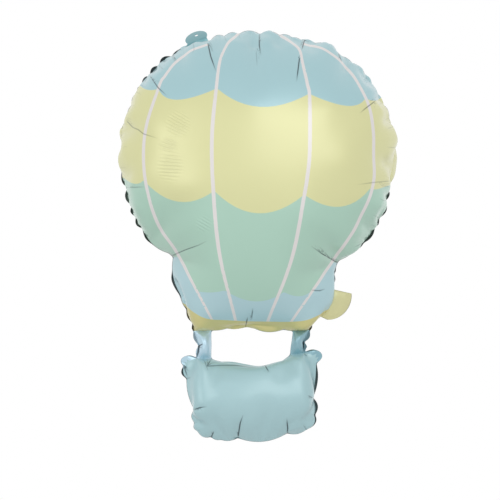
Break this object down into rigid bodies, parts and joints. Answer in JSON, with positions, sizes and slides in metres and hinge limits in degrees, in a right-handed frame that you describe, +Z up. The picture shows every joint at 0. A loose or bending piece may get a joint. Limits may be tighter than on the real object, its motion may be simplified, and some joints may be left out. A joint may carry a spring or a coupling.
{
  "type": "foil balloon shaped like a hot air balloon",
  "caption": "Inflated foil party balloon shaped like a hot air balloon: striped pastel envelope, skirt, inflated ropes, pillow basket, filling tail and punched hanging tab.",
  "frame": {"origin": "middle of the envelope, on the plane of the seam between the two films", "axes": "+Z up towards the crown, +X to the right seen from the front, front film faces -Y"},
  "size_m": [0.412, 0.2214, 0.6068],
  "materials": {
    "foil_yellow": "satin",
    "foil_light_blue": "satin",
    "foil_blue": "satin",
    "foil_tail_yellow": "satin",
    "foil_tab_blue": "satin"
  },
  "bodies": {
    "root": {"envelope_front": "foil_yellow", "envelope_back": "foil_yellow", "skirt_front": "foil_light_blue", "skirt_back": "foil_light_blue", "rope_left_upper_front": "foil_blue", "rope_left_upper_back": "foil_blue", "rope_right_upper_front": "foil_blue", "rope_right_upper_back": "foil_blue"},
    "basket": {"rope_left_lower_front": "foil_blue", "rope_left_lower_back": "foil_blue", "rope_right_lower_front": "foil_blue", "rope_right_lower_back": "foil_blue", "basket_front": "foil_blue", "basket_back": "foil_blue"},
    "filling_tail": {"tail_front": "foil_tail_yellow", "tail_back": "foil_tail_yellow"},
    "hanging_tab": {"hanging_tab": "foil_tab_blue"}
  },
  "joints": [
    {"name": "basket_fold", "type": "hinge", "parent": "root", "child": "basket", "pos_m": [0.0016, 0, -0.2782], "axis": [0.9978, 0, 0.0656], "range_deg": [-30, 30]},
    {"name": "tail_fold", "type": "hinge", "parent": "root", "child": "filling_tail", "pos_m": [0.10631, 0, -0.21461], "axis": [0.3394, 0, 0.9406], "range_deg": [-80, 80], "stiffness_Nm_per_rad": 0.0001},
    {"name": "tab_fold", "type": "hinge", "parent": "root", "child": "hanging_tab", "pos_m": [-0.09843, 0, 0.16385], "axis": [0.9154, 0, 0.4025], "range_deg": [-25, 135], "stiffness_Nm_per_rad": 0.0001}
  ]
}
